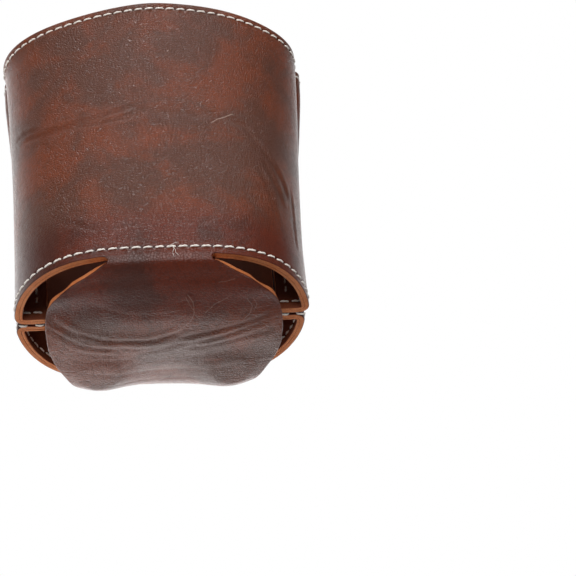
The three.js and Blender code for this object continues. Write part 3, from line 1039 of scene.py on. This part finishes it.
sewn = []
for wall, grid in (("front", front_id), ("back", back_id)):
    for line_name, v in (("rim", RIM_STITCH_V), ("edge", EDGE_STITCH_V)):
        line = WallLine(grid, v)
        last = int((line.u[-1] - LAST_STITCH_INSET) / STITCH_PITCH)
        centres = np.arange(-last, last + 1) * STITCH_PITCH
        needle = stitches(f"{wall}_{line_name}_top_stitches", centres, line.at, UP, STITCH_RISE)

        def inner_at(u, line=line):
            place, normal = line.at(u)
            return place - normal * LINING_INNER, -normal

        bobbin = stitches(f"{wall}_{line_name}_under_stitches", centres, inner_at, UP, STITCH_RISE)
        sewn.append((needle, f"{wall}_{line_name}_needle_thread"))
        sewn.append((bobbin, f"{wall}_{line_name}_bobbin_thread"))

flat_start = FOLD_RADIUS - SEAM_GAP / 2
seam_share = (SEAM_STITCH_INSET - flat_start) / (FLANGE_REACH - flat_start)
right_column = COLUMNS - 1 - FLANGE_CELLS * (1 - seam_share)
left_column = COLUMNS - 1 - right_column
for side_name, columns in (("right", (right_column, left_column)), ("left", (left_column, right_column))):
    for grid, column, thread in zip((front_id, back_id), columns, ("needle", "bobbin")):
        low = int(column)
        share = column - low
        place_line = mixed(points, grid[:, low], grid[:, low + 1], share)
        normal_line = mixed(normals, grid[:, low], grid[:, low + 1], share)

        def seam_at(v, place_line=place_line, normal_line=normal_line):
            normal = unit(between(v, row_v, normal_line))
            return between(v, row_v, place_line) - normal * LINING_INNER, -normal

        count = int((WALL_HEIGHT - 2 * SEAM_END_INSET) / STITCH_PITCH)
        centres = WALL_HEIGHT / 2 + (np.arange(count) - (count - 1) / 2) * STITCH_PITCH
        thing = stitches(f"{side_name}_seam_{thread}_stitches", centres, seam_at, ACROSS, STITCH_RISE)
        sewn.append((thing, f"{side_name}_seam_{thread}_thread"))


def gap_at(u):
    """Points in the gap between the flanges, at its lower edge."""
    place = np.stack([u, np.full_like(u, SEAM_END_Y), np.full_like(u, EDGE_Z - SEAM_END_SAG)], -1)
    return place, np.broadcast_to(-UP, place.shape)


for side_name, sign in (("right", 1), ("left", -1)):
    ends = sign * np.array(SEAM_ENDS)
    end_stitches = stitches(f"{side_name}_seam_end_stitches", ends, gap_at, BACKWARD, 0.0)
    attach(end_stitches, "root")

frayed = []
edge_line = WallLine(front_id, EDGE_STITCH_V)
for path in FRAYED:
    u, drop, off = np.array(path).T
    place, normal = edge_line.at(u)
    frayed.append(place - UP * drop[:, None] + normal * off[:, None])
loose = fibres("frayed_thread", frayed)
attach(loose, "root")

for thing, node in sewn:
    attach(thing, "root")
    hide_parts(node)

for thing, node in ((outer, "outer_leather"), (lining, "lining")):
    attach(thing, "root")
    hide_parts(node)

# ---- Stage, lights and camera -------------------------------------------------------------------

scene = bpy.context.scene
scene.view_settings.view_transform = "Standard"

CAMERA_AT = Vector((-0.5, -438.6, -326.7)) * MM
CAMERA_BACK = Vector((-0.06770, -0.78387, -0.61722)).normalized()
CAMERA_ROLL = math.radians(-5.598)
CAMERA_LENS, CAMERA_SENSOR = 118.2, 36

camera_data = bpy.data.cameras.new("camera")
camera_data.lens = CAMERA_LENS
camera_data.sensor_width = CAMERA_SENSOR
camera_data.clip_start, camera_data.clip_end = 0.01, 20
camera = bpy.data.objects.new("camera", camera_data)
right = (-CAMERA_BACK).cross(Vector((0, 0, 1))).normalized()
up = right.cross(-CAMERA_BACK)
c, s = math.cos(CAMERA_ROLL), math.sin(CAMERA_ROLL)
right, up = c * right + s * up, -s * right + c * up
turn = Matrix((right, up, CAMERA_BACK)).transposed()
camera.matrix_world = Matrix.Translation(CAMERA_AT) @ turn.to_4x4()
scene.collection.objects.link(camera)
scene.camera = camera


WHITE = (1, 1, 1, 1)


def one_sided_white():
    """A pale floor that shows only from above."""
    n = Nodes(bpy.data.materials.new("floor_white"))
    n.tree.nodes.remove(n.tree.nodes["Principled BSDF"])
    plain = n.node("ShaderNodeEmission", {"Color": WHITE})
    clear = n.node("ShaderNodeBsdfTransparent")
    behind = n.node("ShaderNodeNewGeometry", output="Backfacing")
    n.switch(behind, plain, clear, "Material Output")
    return n.owner


FLOOR_HALF = 3000.0
FLOOR_Z = -0.4
floor_points = np.array([(x, y, FLOOR_Z) for x, y in ((-1, -1), (1, -1), (1, 1), (-1, 1))])
floor_points[:, :2] *= FLOOR_HALF
floor = make_mesh("floor", floor_points, np.array([[0, 1, 2, 3]]), [one_sided_white()], False)
for ray in ("visible_diffuse", "visible_glossy", "visible_transmission", "visible_shadow"):
    setattr(floor, ray, False)

DOME_FRONT, DOME_BACK = 0.12, 3.4
DOME_FADE = (0.42, 1.0)  # how the dome turns from dark to bright, as the cosine to its brightest place
DOME_BRIGHTEST = Vector((-0.12, 0.94, 0.30))

# A white tent, bright behind the cup and dark where the lens looks in. The camera sees plain white.
n = Nodes(bpy.data.worlds.new("studio"))
direction = n.node("ShaderNodeTexCoord", output="Generated")
towards = n.vector("DOT_PRODUCT", direction, DOME_BRIGHTEST, "Value")
tent = n.ramp(towards, *DOME_FADE, DOME_FRONT, DOME_BACK)
light_dome = n.node("ShaderNodeBackground", {"Color": WHITE, "Strength": tent})
seen = n.node("ShaderNodeBackground", {"Color": WHITE, "Strength": 1.0})
camera_ray = n.node("ShaderNodeLightPath", output="Is Camera Ray")
n.switch(camera_ray, light_dome, seen, "World Output")
n.tree.nodes.remove(n.tree.nodes["Background"])
scene.world = n.owner


def area_light(name, place, size, power, aim=(0, 0, 50)):
    """A soft square light. Its place and aim are in millimetres."""
    data = bpy.data.lights.new(name, "AREA")
    data.size = size * MM
    data.energy = power
    light = bpy.data.objects.new(name, data)
    light.location = Vector(place) * MM
    light.rotation_mode = "QUATERNION"
    light.rotation_quaternion = (Vector(aim) - Vector(place)).to_track_quat("-Z", "Y")
    scene.collection.objects.link(light)


area_light("key", (-60, -1250, 60), 800, 15.5)
area_light("top", (0, -400, 1260), 420, 6)
area_light("below", (-150, 900, -560), 700, 3.0, (0, 0, 0))
area_light("left_glow", (-800, 420, -520), 420, 4.0, (0, 0, 0))
area_light("right_glow", (800, 420, -520), 420, 1.6, (0, 0, 0))
